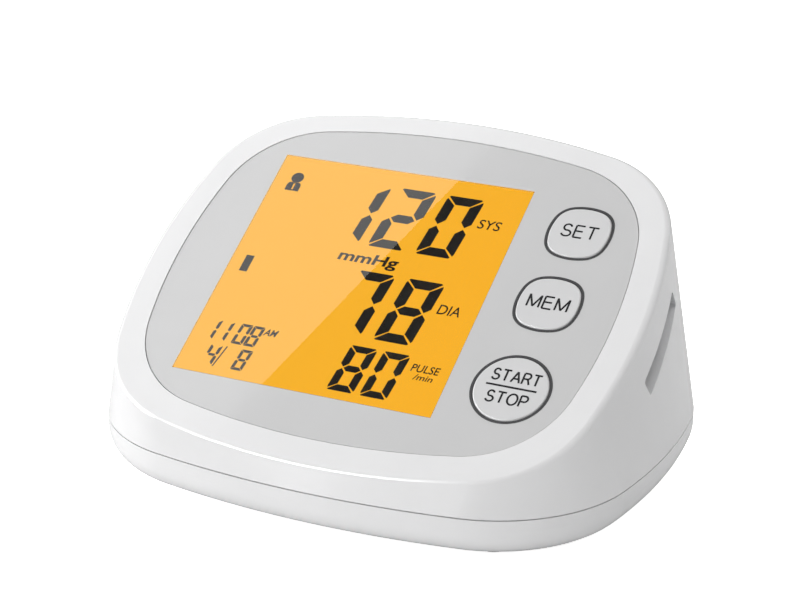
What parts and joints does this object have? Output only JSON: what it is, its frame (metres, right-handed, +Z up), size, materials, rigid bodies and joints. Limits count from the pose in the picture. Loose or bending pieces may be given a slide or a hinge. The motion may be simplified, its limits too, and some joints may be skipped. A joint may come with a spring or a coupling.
{
  "type": "upper arm blood pressure monitor",
  "caption": "Desktop upper arm blood pressure monitor: wedge-shaped casing with a sloping face, a large amber display, push keys, a side power socket and a cuff air socket.",
  "frame": {"origin": "centre of the footprint on the ground plane, under the feet", "axes": "+Z up, +X towards the keys, +Y to the rear, where the casing is tallest"},
  "size_m": [0.1338, 0.1074, 0.0714],
  "materials": {
    "white_abs": "satin",
    "panel_grey": "satin",
    "window_clear": "gloss",
    "key_grey": "satin",
    "ring_dark": "matte",
    "insert_grey": "matte",
    "foot_rubber": "matte",
    "steel": "satin",
    "nickel": "polished",
    "cell_label": "gloss",
    "lcd_amber": "gloss",
    "polariser": "satin",
    "frame_white": "matte",
    "guide_clear": "gloss",
    "led_white": "gloss",
    "elastomer": "matte",
    "pcb_green": "semi gloss",
    "chip_black": "matte",
    "capacitor": "gloss",
    "switch_black": "satin",
    "housing_grey": "matte",
    "magnet": "matte",
    "diaphragm_rubber": "matte",
    "copper": "gloss",
    "silicone": "satin",
    "socket_grey": "satin",
    "wire": "matte"
  },
  "bodies": {
    "casing": {"top_case": "white_abs", "bottom_case": "white_abs", "battery_tray": "white_abs", "battery_contacts": "nickel", "face_panel": "panel_grey", "display_window": "window_clear", "port_insert": "insert_grey", "case_screws": "steel", "lcd_glass": "lcd_amber", "lcd_polariser": "polariser", "lcd_frame": "frame_white", "light_guide": "guide_clear", "lcd_reflector": "nickel", "backlight_leds": "led_white", "elastomer_strips": "elastomer", "main_pcb": "pcb_green", "pcb_screws": "steel", "controller_chip": "chip_black", "crystal": "nickel", "capacitors": "capacitor", "buzzer": "chip_black", "pressure_sensor": "housing_grey", "power_socket": "nickel", "motor_can": "steel", "motor_magnets": "magnet", "pump_housing": "housing_grey", "diaphragm": "diaphragm_rubber", "pump_head": "housing_grey", "valve_frame": "steel", "valve_coil": "copper", "valve_head": "housing_grey", "air_fittings": "frame_white", "air_tubes": "silicone", "air_socket": "socket_grey", "wiring": "wire", "foot_1": "foot_rubber", "battery_1": "cell_label", "foot_2": "foot_rubber", "battery_2": "cell_label", "foot_3": "foot_rubber", "battery_3": "cell_label", "foot_4": "foot_rubber", "battery_4": "cell_label", "ring_start": "ring_dark", "switch_start": "switch_black", "ring_mem": "ring_dark", "switch_mem": "switch_black", "ring_set": "ring_dark", "switch_set": "switch_black"},
    "battery_cover": {"battery_cover": "white_abs"},
    "pump_crank": {"motor_rotor": "copper", "pump_crank": "housing_grey"},
    "wobble_plate": {"wobble_plate": "frame_white"},
    "valve_plunger": {"valve_plunger": "steel"},
    "key_start": {"key_start": "key_grey"},
    "stem_start": {"stem_start": "frame_white"},
    "key_mem": {"key_mem": "key_grey"},
    "stem_mem": {"stem_mem": "frame_white"},
    "key_set": {"key_set": "key_grey"},
    "stem_set": {"stem_set": "frame_white"}
  },
  "joints": [
    {"name": "cover_slide", "type": "slide", "parent": "casing", "child": "battery_cover", "axis": [0, 1, 0], "range_m": [0, 0.064]},
    {"name": "key_start_press", "type": "slide", "parent": "casing", "child": "key_start", "axis": [0, -0.5299, 0.848], "range_m": [-0.0008, 0], "stiffness_N_per_m": 400, "springref_m": 0.001},
    {"name": "stem_start_press", "type": "slide", "parent": "casing", "child": "stem_start", "axis": [0, -0.5299, 0.848], "range_m": [-0.0003, 0]},
    {"name": "key_mem_press", "type": "slide", "parent": "casing", "child": "key_mem", "axis": [0, -0.5299, 0.848], "range_m": [-0.0008, 0], "stiffness_N_per_m": 400, "springref_m": 0.001},
    {"name": "stem_mem_press", "type": "slide", "parent": "casing", "child": "stem_mem", "axis": [0, -0.5299, 0.848], "range_m": [-0.0003, 0]},
    {"name": "key_set_press", "type": "slide", "parent": "casing", "child": "key_set", "axis": [0, -0.5299, 0.848], "range_m": [-0.0008, 0], "stiffness_N_per_m": 400, "springref_m": 0.001},
    {"name": "stem_set_press", "type": "slide", "parent": "casing", "child": "stem_set", "axis": [0, -0.5299, 0.848], "range_m": [-0.0003, 0]},
    {"name": "crank_spin", "type": "hinge", "parent": "casing", "child": "pump_crank", "pos_m": [-0.045, 0.011, 0.0156], "axis": [0, 1, 0], "continuous": true},
    {"name": "wobble_sway", "type": "hinge", "parent": "pump_crank", "child": "wobble_plate", "pos_m": [-0.045, 0.021, 0.0156], "axis": [0, 0.9962, 0.0872], "continuous": true},
    {"name": "valve_stroke", "type": "slide", "parent": "casing", "child": "valve_plunger", "axis": [0, 0, 1], "range_m": [0, 0.0012], "stiffness_N_per_m": 150, "springref_m": -0.001}
  ],
  "couplings": [
    {"joint": "stem_start_press", "follows": "key_start_press", "ratio": 0.375},
    {"joint": "stem_mem_press", "follows": "key_mem_press", "ratio": 0.375},
    {"joint": "stem_set_press", "follows": "key_set_press", "ratio": 0.375},
    {"joint": "wobble_sway", "follows": "crank_spin", "ratio": -1}
  ]
}
